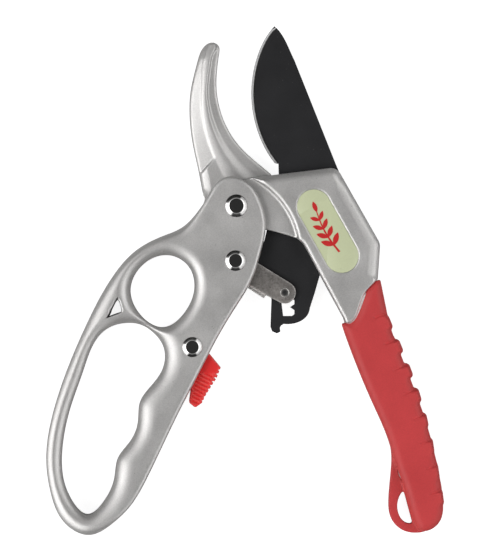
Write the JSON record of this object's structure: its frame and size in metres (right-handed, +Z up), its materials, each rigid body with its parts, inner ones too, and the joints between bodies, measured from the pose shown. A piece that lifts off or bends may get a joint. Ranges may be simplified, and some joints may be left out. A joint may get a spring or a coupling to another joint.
{
  "type": "ratchet pruning shears",
  "caption": "One-hand ratchet pruning shears with a closed finger loop, a slotted head, a notched blade tail, a red latch and a red grip.",
  "frame": {"origin": "bottom of the shears as they lie on their back, at the middle of their outline", "axes": "+X across the open handles towards the red grip, +Y along the tool towards the jaws, +Z up from the surface it lies on"},
  "size_m": [0.1594, 0.2038, 0.0173],
  "materials": {
    "satin_silver": "satin",
    "red_vinyl": "satin",
    "badge_green": "satin",
    "black_coat": "satin",
    "worn_steel": "worn",
    "red_plastic": "satin",
    "chrome": "polished",
    "bronze": "satin",
    "spring_wire": "satin"
  },
  "bodies": {
    "casting": {"main_casting": "satin_silver", "grip_sleeve": "red_vinyl", "badge": "badge_green", "blade_pin": "worn_steel", "blade_washers": "worn_steel", "handle_bush": "bronze"},
    "handle": {"finger_handle": "satin_silver", "handle_rivet": "chrome", "link_rivet": "chrome", "latch_rivet": "chrome", "rivet_washers": "worn_steel", "handle_washers": "worn_steel", "link_spacers": "worn_steel", "latch_washers": "worn_steel", "return_spring": "spring_wire"},
    "blade": {"blade": "black_coat", "blade_bush": "bronze"},
    "link": {"ratchet_link": "worn_steel", "link_pin": "worn_steel", "link_spring": "spring_wire"},
    "latch": {"latch_lever": "red_plastic"}
  },
  "joints": [
    {"name": "handle_pivot", "type": "hinge", "parent": "casting", "child": "handle", "pos_m": [-0.00354, 0.0298, 0], "axis": [0, 0, 1], "range_deg": [0, 40], "deforming": ["return_spring"]},
    {"name": "blade_pivot", "type": "hinge", "parent": "casting", "child": "blade", "pos_m": [0.0194, 0.031, 0], "axis": [0, 0, 1], "range_deg": [0, 18]},
    {"name": "link_pivot", "type": "hinge", "parent": "handle", "child": "link", "pos_m": [-0.0039, 0.00792, 0], "axis": [0, 0, 1], "range_deg": [-52, 0], "deforming": ["link_spring"]},
    {"name": "latch_pivot", "type": "hinge", "parent": "handle", "child": "latch", "pos_m": [-0.02114, -0.02656, 0], "axis": [0, 0, 1], "range_deg": [0, 25]}
  ],
  "couplings": [
    {"joint": "blade_pivot", "follows": "handle_pivot", "ratio": 0.45},
    {"joint": "link_pivot", "follows": "handle_pivot", "ratio": -1.3}
  ]
}
